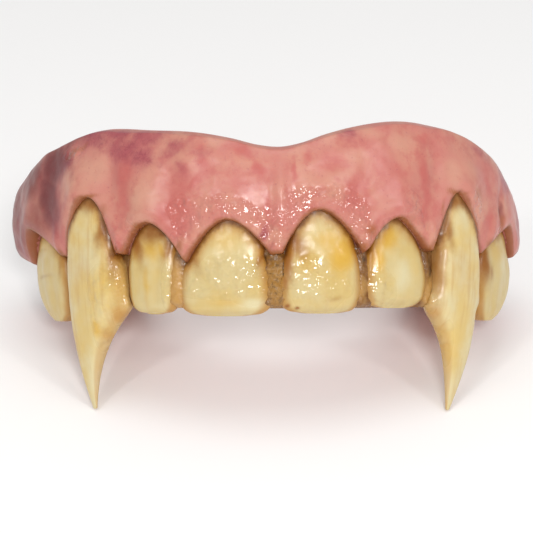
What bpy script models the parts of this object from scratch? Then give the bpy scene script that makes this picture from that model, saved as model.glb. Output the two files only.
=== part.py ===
# Vampire fang denture: a slip-on upper horseshoe of acrylic with eight false teeth.
#
# The shape is charted on the tooth row. s runs along the row from the midline, negative
# to the left as seen from in front, n points out of the mouth from the fronts of the teeth,
# and z is the height above the biting edges. Tables are in millimetres and mm makes metres.
# The finished denture stands as it would by itself, on its fangs and its heels.
import math

import bmesh
import bpy
import numpy as np
from mathutils import Vector

mm = 0.001

# Driving dimensions
arch_radius = 26.0         # of the tooth row at the front
arch_turn = 1.6            # radians that each side of the row would turn through far behind
row_reach = 50.0           # the row is worked out this far each way
heel_left, heel_right = -44.5, 43.5
heel_left_edge, heel_right_edge = 7.0, 8.6    # height of the lower edge at the ends
bed_left, bed_right = -36.8, 35.9
seat_gap = 0.3             # between a tooth and what it sits in
bed_front, bed_back = -1.3, -3.5
bed_bottom = 0.5
wall_front = bed_back - seat_gap
ledge_top = 6.3            # the bed reaches no higher than this under the gum
underside = 1.0
floor_height = 2.6
trough_front = -4.9
trough_heel_out = 1.5      # the trough's outer face comes this much further out behind the teeth
trough_width, trough_widening = 6.6, 1.6
trough_widens_from, heels_from, heels_full = 22.0, 38.5, 42.5    # along the row, each side
trough_corner = 0.4
trough_wall_top, shoulder_height = 10.6, 14.4
least_above_wall, least_above_shoulder = 5.6, 3.4    # kept below the border where it is low
palatal_top = 7.4
palatal_wall = 1.8
shoulder_wall = 4.3        # thickness of the flange over the roots
border_wall = 2.0
border_fall, border_power = 1.7, 2.4    # how the outer face rounds in to the border
flange_neck = 0.35         # how far the flange stands out where it meets the teeth
flange_shares = (0.0, 0.1, 0.3, 0.5, 0.7, 0.86, 0.96)    # heights of the outer face's points
swelling_fade = 5.0        # a swelling fades in and out over this height
belly_share = 0.5          # height of the fullest part of the flange, as a share of its height
belly_base = 5.2
gum_roll, gum_roll_height = 0.3, 1.3    # the rolled edge along the gum line
column_step = 1.0
heel_step = 1.9
heel_rounding = 0.3
tooth_sides = 12
tooth_side_power, tooth_face_power = 0.62, 0.72    # under 1 makes a tooth's outline squarer

# Each tooth's gum line is an arch between two feet, with one power for each flank
gum_arches = (
    # left s, left z, top s, top z, right s, right z, left power, right power
    (-37.2, 5.3, -33.6, 9.5, -28.8, 6.3, 1.8, 1.4),
    (-28.2, 6.6, -24.4, 13.0, -19.5, 7.3, 3.4, 2.6),
    (-17.9, 6.5, -14.3, 10.0, -10.4, 5.9, 2.1, 1.7),
    (-9.9, 5.6, -5.1, 10.3, -0.5, 6.4, 1.8, 1.7),
    (0.9, 6.6, 5.0, 11.4, 9.9, 6.6, 2.0, 1.6),
    (10.7, 7.3, 14.2, 10.6, 18.0, 7.2, 2.0, 1.2),
    (19.0, 7.2, 23.4, 13.6, 28.0, 7.1, 1.6, 1.6),
    (28.4, 7.8, 32.4, 9.9, 36.0, 6.1, 1.3, 1.7),
)

# The border of the flange: two lobes with the frenum's dip between them
border = (
    # s, z of the top, n of the fullest part below it
    (-45.0, 11.4, -0.3),
    (-41.0, 14.4, 1.8),
    (-36.5, 16.6, 2.7),
    (-32.0, 18.6, 2.3),
    (-27.0, 19.9, 1.9),
    (-21.0, 20.9, 1.6),
    (-15.0, 20.6, 1.3),
    (-9.0, 20.2, 1.2),
    (-5.0, 19.5, 1.0),
    (-2.0, 18.8, 0.7),
    (0.8, 18.6, 0.6),
    (3.0, 19.0, 0.7),
    (6.0, 20.0, 1.0),
    (9.5, 20.9, 1.1),
    (16.5, 21.6, 1.3),
    (20.0, 21.2, 1.5),
    (25.0, 20.2, 1.7),
    (29.0, 18.5, 1.8),
    (33.0, 16.4, 1.6),
    (37.0, 14.0, 1.0),
    (40.5, 12.4, 0.0),
    (44.0, 11.0, -1.0),
)

# Swellings of the flange over the roots
root_swellings = (
    # s, foot z, top z, width, height
    (-33.4, 11.5, 17.0, 2.0, 0.4),
    (-24.4, 14.0, 19.5, 2.4, 0.8),
    (-14.3, 12.0, 17.5, 2.0, 0.5),
    (-5.1, 12.5, 16.5, 2.6, 0.4),
    (5.0, 13.5, 17.0, 2.6, 0.4),
    (14.2, 13.0, 17.5, 2.0, 0.4),
    (23.4, 14.5, 19.5, 2.3, 0.8),
    (32.4, 12.0, 16.0, 1.8, 0.3),
)
frenum_s, frenum_width, frenum_height = 0.6, 0.6, 0.45

# One row for each level of a tooth, from the root's end down to the biting edge or the tip
teeth = {
    "left_premolar": (
        # z, left s, right s, front n, back n
        (10.0, -34.7, -32.5, 0.2, -1.8),
        (9.1, -35.5, -31.3, 0.7, -2.3),
        (7.8, -36.2, -30.3, 1.0, -2.4),
        (6.3, -36.9, -29.4, 1.2, -2.4),
        (4.6, -37.3, -29.1, 1.2, -2.4),
        (3.0, -37.1, -29.0, 1.0, -2.4),
        (1.6, -36.4, -29.0, 0.7, -2.4),
        (0.5, -35.6, -29.1, 0.4, -2.4),
        (-0.4, -34.7, -29.5, 0.1, -2.4),
        (-1.1, -33.4, -30.6, -0.3, -2.2),
    ),
    "left_fang": (
        (13.7, -25.4, -23.7, 1.2, -0.8),
        (12.8, -26.3, -22.8, 1.6, -1.6),
        (11.2, -27.2, -21.2, 1.8, -2.2),
        (9.2, -27.7, -20.2, 1.9, -2.4),
        (7.0, -27.9, -19.2, 1.8, -2.4),
        (4.5, -28.0, -18.4, 1.7, -2.4),
        (2.0, -28.0, -18.1, 1.5, -2.4),
        (0.4, -27.8, -18.2, 1.4, -2.4),
        (-0.6, -27.6, -18.9, 1.3, -2.4),
        (-1.6, -27.4, -20.0, 1.2, -2.3),
        (-3.0, -27.1, -21.3, 0.9, -2.1),
        (-5.0, -26.7, -22.4, 0.6, -1.8),
        (-7.2, -26.0, -23.0, 0.2, -1.5),
        (-9.4, -25.1, -23.4, -0.2, -1.2),
        (-10.8, -24.5, -23.8, -0.5, -1.0),
        (-11.2, -24.3, -23.9, -0.6, -0.9),
    ),
    "left_lateral_incisor": (
        (10.7, -15.0, -13.5, -0.4, -1.9),
        (9.8, -15.7, -12.9, 0.0, -2.3),
        (8.8, -16.5, -12.4, 0.2, -2.4),
        (7.4, -17.2, -12.0, 0.4, -2.4),
        (5.5, -17.5, -11.8, 0.5, -2.4),
        (3.0, -17.5, -11.8, 0.4, -2.4),
        (1.3, -17.5, -11.8, 0.2, -2.4),
        (0.5, -17.3, -12.0, 0.0, -2.2),
        (0.1, -16.7, -12.6, -0.4, -1.9),
        (0.0, -16.0, -13.3, -0.8, -1.6),
    ),
    "left_central_incisor": (
        (11.0, -6.1, -4.1, -0.3, -1.9),
        (10.1, -6.8, -3.5, 0.1, -2.3),
        (8.9, -7.7, -2.6, 0.4, -2.4),
        (7.4, -8.8, -2.0, 0.6, -2.4),
        (5.8, -9.7, -1.5, 0.7, -2.4),
        (4.0, -10.5, -1.1, 0.6, -2.4),
        (2.4, -10.9, -0.8, 0.4, -2.4),
        (1.1, -10.9, -0.6, 0.2, -2.4),
        (0.4, -10.6, -0.9, 0.0, -2.2),
        (0.0, -10.0, -1.6, -0.5, -1.9),
        (-0.15, -9.0, -2.6, -0.8, -1.6),
    ),
    "right_central_incisor": (
        (12.1, 4.1, 5.9, -0.3, -1.9),
        (11.2, 3.4, 6.6, 0.1, -2.3),
        (9.9, 2.7, 7.5, 0.4, -2.4),
        (8.2, 1.9, 8.4, 0.6, -2.4),
        (6.4, 1.5, 9.0, 0.7, -2.4),
        (4.6, 1.1, 9.4, 0.6, -2.4),
        (2.9, 0.8, 9.6, 0.5, -2.4),
        (1.6, 0.7, 9.6, 0.3, -2.4),
        (0.8, 0.9, 9.4, 0.1, -2.2),
        (0.35, 1.5, 9.0, -0.4, -1.9),
        (0.15, 2.5, 8.2, -0.8, -1.6),
    ),
    "right_lateral_incisor": (
        (11.3, 13.4, 14.9, -0.4, -1.9),
        (10.4, 12.7, 15.6, 0.0, -2.3),
        (9.2, 12.0, 16.4, 0.2, -2.4),
        (7.6, 11.3, 17.2, 0.4, -2.4),
        (6.0, 11.1, 17.8, 0.5, -2.4),
        (4.0, 11.0, 18.3, 0.5, -2.4),
        (2.4, 10.8, 18.4, 0.3, -2.4),
        (1.5, 10.8, 18.3, 0.1, -2.2),
        (1.0, 11.2, 17.9, -0.4, -1.9),
        (0.7, 12.1, 17.2, -0.8, -1.6),
    ),
    "right_fang": (
        (14.3, 22.7, 24.3, 1.2, -0.8),
        (13.4, 21.9, 25.0, 1.6, -1.5),
        (11.8, 21.2, 25.9, 1.8, -2.2),
        (9.8, 20.5, 26.7, 1.9, -2.4),
        (7.6, 19.9, 27.3, 1.8, -2.4),
        (5.0, 19.7, 27.7, 1.7, -2.4),
        (2.6, 19.6, 27.8, 1.5, -2.4),
        (1.0, 19.2, 27.5, 1.4, -2.4),
        (0.0, 19.4, 27.1, 1.3, -2.4),
        (-1.0, 20.2, 26.8, 1.2, -2.3),
        (-2.4, 21.3, 26.6, 0.9, -2.1),
        (-4.4, 22.1, 26.3, 0.6, -1.8),
        (-6.8, 22.5, 25.5, 0.2, -1.5),
        (-9.2, 22.5, 24.4, -0.2, -1.2),
        (-10.8, 22.5, 23.3, -0.5, -1.0),
        (-11.3, 22.5, 23.0, -0.6, -0.9),
    ),
    "right_premolar": (
        (10.5, 31.6, 33.3, -0.3, -1.8),
        (9.6, 30.8, 34.0, 0.1, -2.3),
        (8.2, 29.6, 34.8, 0.5, -2.4),
        (6.6, 28.9, 35.7, 0.7, -2.4),
        (4.8, 28.8, 36.3, 0.8, -2.4),
        (3.2, 28.7, 36.4, 0.7, -2.4),
        (1.8, 28.7, 36.1, 0.5, -2.4),
        (0.6, 28.8, 35.1, 0.3, -2.4),
        (-0.3, 29.3, 34.2, 0.0, -2.4),
        (-1.0, 30.3, 33.0, -0.4, -2.2),
    ),
}

# Finishes: base colour, roughness
finishes = {
    "gum_acrylic": ((0.62, 0.27, 0.22, 1.0), 0.22),
    "stained_acrylic": ((0.24, 0.11, 0.02, 1.0), 0.35),
    "fang_acrylic": ((0.68, 0.50, 0.20, 1.0), 0.25),
    "incisor_acrylic": ((0.66, 0.52, 0.25, 1.0), 0.22),
}


# The tooth row, worked out once
row_s = np.linspace(-row_reach, row_reach, 4001)
row_heading = arch_turn * np.tanh(row_s / (arch_radius * arch_turn))


def run_of(slope):
    """The running total of a slope along the row, zero at the midline."""
    steps = np.diff(row_s) * (slope[1:] + slope[:-1]) / 2
    total = np.concatenate(([0.0], np.cumsum(steps)))
    return total - np.interp(0.0, row_s, total)


row_x = run_of(np.cos(row_heading))
row_y = run_of(np.sin(row_heading))


def place(s, n, z):
    """The point at s along the row, n out of it and z up, in metres."""
    turn = np.interp(s, row_s, row_heading)
    x = np.interp(s, row_s, row_x) + n * math.sin(turn)
    y = np.interp(s, row_s, row_y) - n * math.cos(turn)
    return Vector((x, y, z)) * mm


def ease(low, high, value):
    """0 below low, 1 above high, and a smooth rise between them."""
    share = min(max((value - low) / (high - low), 0.0), 1.0)
    return share * share * (3 - 2 * share)


def smooth_row(table, column, s):
    """A smooth curve through one column of a table whose first column is s."""
    at = [row[0] for row in table]
    values = [row[column] for row in table]
    slopes = np.gradient(values, at)
    i = int(np.clip(np.searchsorted(at, s) - 1, 0, len(at) - 2))
    width = at[i + 1] - at[i]
    t = (s - at[i]) / width
    return (
        values[i] * (2 * t**3 - 3 * t**2 + 1)
        + slopes[i] * width * (t**3 - 2 * t**2 + t)
        + values[i + 1] * (3 * t**2 - 2 * t**3)
        + slopes[i + 1] * width * (t**3 - t**2)
    )


def gum_line(s):
    """Height of the gum's lower edge: an arch over each tooth, straight between their feet."""
    corners = [(heel_left, heel_left_edge)]
    for left, left_z, top, top_z, right, right_z, left_power, right_power in gum_arches:
        if left <= s <= right:
            foot, foot_z, power = (left, left_z, left_power) if s < top else (right, right_z, right_power)
            share = abs((s - top) / (foot - top))
            return top_z - (top_z - foot_z) * share**power
        corners += [(left, left_z), (right, right_z)]
    corners.append((heel_right, heel_right_edge))
    return float(np.interp(s, [c[0] for c in corners], [c[1] for c in corners]))


def flange_front(s, z):
    """How far the flange's outer face stands out at height z."""
    top = smooth_row(border, 1, s)
    full = smooth_row(border, 2, s)
    low = min(flange_neck, full + 0.2)
    rise = (z - belly_base) / (top - belly_base)
    if rise < belly_share:
        n = low + (full - low) * math.sin(math.pi / 2 * max(rise, 0.0) / belly_share)
    else:
        over = min((rise - belly_share) / (1 - belly_share), 1.0)
        n = full - border_fall * (1 - math.sqrt(max(1 - over**border_power, 0.0)))
    for at, foot, head, width, height in root_swellings:
        along = ease(foot - swelling_fade, foot, z) * (1 - ease(head - swelling_fade, head, z))
        n += height * along * math.exp(-(((s - at) / width) ** 2))
    n += gum_roll * math.exp(-((z - gum_line(s) - gum_roll_height) ** 2))
    fade = 1 - ease(top - 5, top - 1, z)
    return n + frenum_height * fade * math.exp(-(((s - frenum_s) / frenum_width) ** 2))


def gum_section(s):
    """The base's outline at s, as (n, z) points round the section."""
    edge = gum_line(s)
    top = smooth_row(border, 1, s)
    in_row = bed_left - seat_gap < s < bed_right + seat_gap
    inner = trough_front + trough_heel_out * ease(heels_from, heels_full, abs(s))
    palatal = trough_front - trough_width
    palatal -= trough_widening * ease(trough_widens_from, heels_full, abs(s))
    crest = flange_front(s, top) - 0.5
    shoulder = min(shoulder_height, top - least_above_shoulder)

    # The outer face, from the gum line up to the border
    outer = []
    for share in flange_shares:
        z = edge + (top - edge) * share
        outer.append((flange_front(s, z), z))
    outer[0] = (outer[0][0] - 0.25, edge)
    # Over the border and down the inner face to the trough
    over = [
        (crest, top),
        (crest - border_wall / 2, top - 0.3),
        (crest - border_wall, top - 1.5),
        (max(flange_front(s, shoulder) - shoulder_wall, inner + 0.4), shoulder),
        (inner, min(trough_wall_top, top - least_above_wall)),
        (inner, floor_height + trough_corner),
        (inner - trough_corner, floor_height),
    ]
    # The trough floor, the palatal wall and the underside
    under = [
        (palatal + trough_corner, floor_height),
        (palatal, floor_height + trough_corner),
        (palatal - 0.1, palatal_top - 0.6),
        (palatal - 0.8, palatal_top),
        (palatal - palatal_wall + 0.1, palatal_top - 0.7),
        (palatal - palatal_wall, underside + 1.0),
        (palatal - palatal_wall + 0.9, underside),
    ]
    if in_row:
        ledge = min(edge, ledge_top)
        under += [
            (wall_front - 0.6, underside),
            (wall_front, underside + 0.4),
            (wall_front, ledge),
            (bed_front + 0.1, ledge),
            (-0.4, max(edge - 0.1, ledge)),
        ]
    else:
        under += [
            (-6.0, underside),
            (-3.2, underside + 0.8),
            (-2.6, max(edge - 3.2, underside + 1.1)),
            (-1.9, edge - 1.8),
            (outer[0][0] - 0.7, edge - 0.7),
        ]
    return outer + over + under


def shrunk(section, by):
    """The same outline moved inwards all round, for the rounded ends."""
    points = np.array(section)
    along = np.roll(points, -1, axis=0) - np.roll(points, 1, axis=0)
    inwards = np.stack([-along[:, 1], along[:, 0]], axis=1)
    inwards /= np.linalg.norm(inwards, axis=1)[:, None]
    area = np.sum(points[:, 0] * np.roll(points[:, 1], -1) - points[:, 1] * np.roll(points[:, 0], -1))
    return [tuple(p) for p in points + inwards * by * math.copysign(1, area)]


def loft(name, rings):
    """A closed mesh object through rings of points, with flat ends."""
    mesh = bpy.data.meshes.new(name)
    bm = bmesh.new()
    loops = [[bm.verts.new(point) for point in ring] for ring in rings]
    for loop, following in zip(loops, loops[1:]):
        for i in range(len(loop)):
            j = (i + 1) % len(loop)
            bm.faces.new((loop[i], loop[j], following[j], following[i]))
    bm.faces.new(loops[0])
    bm.faces.new(loops[-1])
    bmesh.ops.recalc_face_normals(bm, faces=bm.faces)
    bm.to_mesh(mesh)
    bm.free()
    mesh.shade_smooth()
    return bpy.data.objects.new(name, mesh)


def columns(low, high):
    """Places for sections between two ends, closer where the teeth are."""
    found = [low]
    while found[-1] < high - 0.4:
        beside_teeth = bed_left - 1 < found[-1] < bed_right
        found.append(found[-1] + (column_step if beside_teeth else heel_step))
    found[-1] = high
    return found


def gum_base():
    # A pair of sections close together makes each end wall of the bed's recess
    left_end, right_end = bed_left - seat_gap, bed_right + seat_gap
    around_bed = [left_end - 0.01, left_end + 0.1, right_end - 0.1, right_end + 0.01]
    inside = columns(heel_left + heel_rounding, heel_right - heel_rounding)
    at = sorted([s for s in inside if min(abs(s - t) for t in around_bed) > 0.3] + around_bed)
    rings = []
    for s, by in [(heel_left, heel_rounding)] + [(s, 0.0) for s in at] + [(heel_right, heel_rounding)]:
        rings.append([place(s, n, z) for n, z in shrunk(gum_section(s), by)])
    return loft("gum_base", rings)


def tooth_bed():
    rings = []
    for s in np.linspace(bed_left, bed_right, 60):
        top = min(gum_line(s), ledge_top) - seat_gap
        ends = [(bed_front, bed_bottom + 0.2), (bed_front, top), (bed_back, top)]
        ends += [(bed_back, bed_bottom + 0.4), (bed_back + 0.5, bed_bottom), (bed_front - 0.4, bed_bottom)]
        rings.append([place(s, n, z) for n, z in ends])
    return loft("tooth_bed", rings)


def tooth(name, levels, grow=0.0):
    """A tooth through its levels; grow makes it that much bigger all over, as a cutter."""
    (root_z, *root_ends), (tip_z, *tip_ends) = levels[0][:3], levels[-1][:3]
    rings = []
    for i, (z, left, right, front, back) in enumerate(levels):
        end = grow if i == 0 else -grow if i == len(levels) - 1 else 0.0
        # The ridge down the front runs straight from the root to the tip
        share = (root_z - z) / (root_z - tip_z)
        ridge = sum(root_ends) / 2 * (1 - share) + sum(tip_ends) / 2 * share
        centre, deep = (front + back) / 2, (front - back) / 2 + grow
        ring = []
        for k in range(tooth_sides):
            angle = 2 * math.pi * (k + 0.5) / tooth_sides
            across = math.copysign(abs(math.cos(angle)) ** tooth_side_power, math.cos(angle))
            outwards = math.copysign(abs(math.sin(angle)) ** tooth_face_power, math.sin(angle))
            half = (right - ridge if across > 0 else ridge - left) + grow
            ring.append(place(ridge + half * across, centre + deep * outwards, z + end))
        rings.append(ring)
    return loft(name, rings)


def finish(obj, slot):
    material = bpy.data.materials.get(slot) or bpy.data.materials.new(slot)
    material.use_nodes = True
    shader = material.node_tree.nodes["Principled BSDF"]
    colour, roughness = finishes[slot]
    shader.inputs["Base Color"].default_value = colour
    shader.inputs["Roughness"].default_value = roughness
    shader.inputs["Metallic"].default_value = 0.0
    obj.data.materials.append(material)


def cut(obj, cutter):
    modifier = obj.modifiers.new(cutter.name, "BOOLEAN")
    modifier.operation = "DIFFERENCE"
    modifier.solver = "EXACT"
    modifier.object = cutter


def stand(objects):
    """Turns and lowers the denture to the flat that it would come to rest on, teeth down."""
    hull = bmesh.new()
    for obj in objects:
        for vertex in obj.data.vertices:
            hull.verts.new(vertex.co)
    middle = sum((v.co for v in hull.verts), Vector()) / len(hull.verts)
    bmesh.ops.convex_hull(hull, input=hull.verts)
    bmesh.ops.triangulate(hull, faces=hull.faces)
    best = None
    for face in hull.faces:
        foot = middle - face.normal * (middle - face.verts[0].co).dot(face.normal)
        corners = [v.co for v in face.verts]
        inside = all(
            (b - a).cross(foot - a).dot(face.normal) > 0
            for a, b in zip(corners, corners[1:] + corners[:1])
        )
        if inside and (best is None or face.normal.z < best.z):
            best = face.normal.copy()
    turn = best.rotation_difference(Vector((0, 0, -1)))
    points = [turn @ v.co for v in hull.verts]
    hull.free()
    low = Vector(min(p[i] for p in points) for i in range(3))
    high = Vector(max(p[i] for p in points) for i in range(3))
    pose = bpy.data.objects.new("rest_pose", None)
    pose.rotation_mode = "QUATERNION"
    pose.rotation_quaternion = turn
    pose.location = (-(low.x + high.x) / 2, -(low.y + high.y) / 2, -low.z)
    return pose


def main():
    for obj in list(bpy.data.objects):
        bpy.data.objects.remove(obj)
    parts = bpy.data.collections.new("vampire_fang_denture")
    cutters = bpy.data.collections.new("tooth_sockets")
    for collection in (parts, cutters):
        bpy.context.scene.collection.children.link(collection)

    base, bed = gum_base(), tooth_bed()
    finish(base, "gum_acrylic")
    finish(bed, "stained_acrylic")
    pieces = [base, bed]
    sockets = []
    for name, levels in teeth.items():
        piece = tooth(name, levels)
        finish(piece, "fang_acrylic" if "fang" in name else "incisor_acrylic")
        pieces.append(piece)
        socket = tooth(name + "_socket", levels, seat_gap)
        socket.hide_render = True
        socket.display_type = "WIRE"
        cut(base, socket)
        cut(bed, socket)
        sockets.append(socket)

    pose = stand(pieces)
    parts.objects.link(pose)
    for obj in pieces:
        parts.objects.link(obj)
        obj.parent = pose
    for obj in sockets:
        cutters.objects.link(obj)
        obj.parent = pose


main()
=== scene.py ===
# Vampire fang denture, dressed: the tinted gum, the stained bed between the teeth and eight painted teeth.
# Tables are in millimetres on the chart of the tooth row: s runs along the row, n stands out of it and
# z is the height over the biting edges.
import math
import bpy
import numpy as np
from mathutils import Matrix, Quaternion, Vector, kdtree


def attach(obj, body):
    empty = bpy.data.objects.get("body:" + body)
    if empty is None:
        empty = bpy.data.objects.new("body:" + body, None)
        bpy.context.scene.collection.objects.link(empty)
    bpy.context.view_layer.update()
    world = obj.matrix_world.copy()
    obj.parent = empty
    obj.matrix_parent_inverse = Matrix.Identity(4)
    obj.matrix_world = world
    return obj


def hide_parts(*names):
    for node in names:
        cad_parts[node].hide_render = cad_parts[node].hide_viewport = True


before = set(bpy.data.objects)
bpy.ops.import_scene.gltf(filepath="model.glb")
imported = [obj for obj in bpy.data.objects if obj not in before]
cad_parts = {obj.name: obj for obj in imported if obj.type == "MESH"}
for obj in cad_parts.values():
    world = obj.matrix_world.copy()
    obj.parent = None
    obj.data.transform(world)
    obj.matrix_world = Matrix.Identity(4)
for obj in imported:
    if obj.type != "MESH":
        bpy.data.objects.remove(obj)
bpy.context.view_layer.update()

# The row's chart, and how the denture lies at rest on its fang tips and heels
row = {"radius": 26.0, "turn": 1.6, "reach": 50.0,
       "restTurn": (0.96598953, -0.25853521, 0.00487757, 0.0), "restShift": (0.732446, -15.862463, 14.832497)}
rowS = np.linspace(-row["reach"], row["reach"], 4001)
rowHeading = row["turn"] * np.tanh(rowS / (row["radius"] * row["turn"]))
restTurn = np.array(Quaternion(row["restTurn"]).to_matrix())
restShift = np.array(row["restShift"])


def runningTotal(slope):
    total = np.concatenate(([0.0], np.cumsum(np.diff(rowS) * (slope[1:] + slope[:-1]) / 2)))
    return total - np.interp(0.0, rowS, total)


rowX = runningTotal(np.cos(rowHeading))
rowY = runningTotal(np.sin(rowHeading))


def place(s, n, z):
    # chart to the part's own frame, in metres
    heading = np.interp(s, rowS, rowHeading)
    x = np.interp(s, rowS, rowX) + n * np.sin(heading)
    y = np.interp(s, rowS, rowY) - n * np.cos(heading)
    return (np.stack([x, y, z], axis=-1) @ restTurn.T + restShift) / 1000


def ease(low, high, value):
    share = np.clip((value - low) / (high - low), 0.0, 1.0)
    return share * share * (3 - 2 * share)


def smoothRow(table, column, s):
    # a smooth curve through one column of a table whose first column is s
    at = np.array([line[0] for line in table])
    values = np.array([line[column] for line in table])
    slopes = np.gradient(values, at)
    i = np.clip(np.searchsorted(at, s) - 1, 0, len(at) - 2)
    width = at[i + 1] - at[i]
    t = (s - at[i]) / width
    return (values[i] * (2 * t**3 - 3 * t**2 + 1) + slopes[i] * width * (t**3 - 2 * t**2 + t)
            + values[i + 1] * (3 * t**2 - 2 * t**3) + slopes[i + 1] * width * (t**3 - t**2))


def lumps(x, y, z, seed, octaves=1):
    # smooth lumpiness between about -1 and 1, the same on every run
    total, weight, scale = 0.0, 1.0, 1.0
    for octave in range(octaves):
        px, py, pz = x * scale, y * scale, z * scale
        cx, cy, cz = np.floor(px), np.floor(py), np.floor(pz)
        fx, fy, fz = (p - c for p, c in ((px, cx), (py, cy), (pz, cz)))
        fx, fy, fz = (f * f * (3 - 2 * f) for f in (fx, fy, fz))
        value = 0.0
        for dx in (0, 1):
            for dy in (0, 1):
                for dz in (0, 1):
                    key = ((cx + dx).astype(np.int64) * 73856093 ^ (cy + dy).astype(np.int64) * 19349663
                           ^ (cz + dz).astype(np.int64) * 83492791
                           ^ (seed + octave) * 2654435761) & 0xFFFFFFFF
                    key = (key ^ (key >> 15)) * 2246822519 & 0xFFFFFFFF
                    key = (key ^ (key >> 13)) * 3266489917 & 0xFFFFFFFF
                    corner = ((key ^ (key >> 16)) & 0xFFFF) / 32767.5 - 1
                    value = value + (corner * (fx if dx else 1 - fx) * (fy if dy else 1 - fy)
                                     * (fz if dz else 1 - fz))
        total = total + value * weight
        weight, scale = weight / 2, scale * 2.03
    return total


# Where the gum ends over each tooth: an arch between two feet
gumArches = (
    # left s, left z, top s, top z, right s, right z, left power, right power
    (-37.2, 5.3, -33.6, 9.5, -28.8, 6.3, 1.8, 1.4),
    (-27.4, 6.3, -22.4, 13.0, -19.2, 6.6, 1.75, 2.2),
    (-17.9, 6.5, -14.3, 10.0, -10.4, 5.9, 2.1, 1.7),
    (-9.9, 5.6, -5.1, 10.3, -0.5, 6.4, 1.8, 1.7),
    (0.9, 6.6, 5.0, 11.4, 9.9, 6.6, 2.0, 1.6),
    (10.7, 7.3, 14.2, 10.6, 18.0, 7.2, 2.0, 1.2),
    (19.0, 6.8, 21.8, 13.6, 27.0, 6.4, 1.8, 1.2),
    (28.0, 7.2, 32.4, 9.9, 36.0, 6.1, 1.3, 1.7),
)
gumEnds = {"left": -44.5, "leftZ": 7.0, "right": 43.5, "rightZ": 8.6}


def gumLine(s):
    corners = [(gumEnds["left"], gumEnds["leftZ"])]
    for leftS, leftZ, topS, topZ, rightS, rightZ, leftPower, rightPower in gumArches:
        corners += [(leftS, leftZ), (rightS, rightZ)]
    corners.append((gumEnds["right"], gumEnds["rightZ"]))
    z = np.interp(s, [c[0] for c in corners], [c[1] for c in corners])
    for leftS, leftZ, topS, topZ, rightS, rightZ, leftPower, rightPower in gumArches:
        onLeft = s < topS
        foot, footZ = np.where(onLeft, leftS, rightS), np.where(onLeft, leftZ, rightZ)
        share = np.clip(np.abs((s - topS) / (foot - topS)), 0, 1)
        arch = topZ - (topZ - footZ) * share ** np.where(onLeft, leftPower, rightPower)
        z = np.where((s >= leftS) & (s <= rightS), arch, z)
    return z


lineS = np.arange(gumEnds["left"], gumEnds["right"], 0.02)
lineZ = gumLine(lineS)
lineTree = kdtree.KDTree(len(lineS))
for i in range(len(lineS)):
    lineTree.insert((lineS[i], lineZ[i], 0.0), i)
lineTree.balance()


def aboveGumLine(s, z):
    # distance from the gum line, negative on the teeth's side
    near = np.array([lineTree.find((a, b, 0.0))[2] for a, b in zip(s.ravel(), z.ravel())]).reshape(s.shape)
    return np.where(z >= gumLine(s), near, -near)


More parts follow.
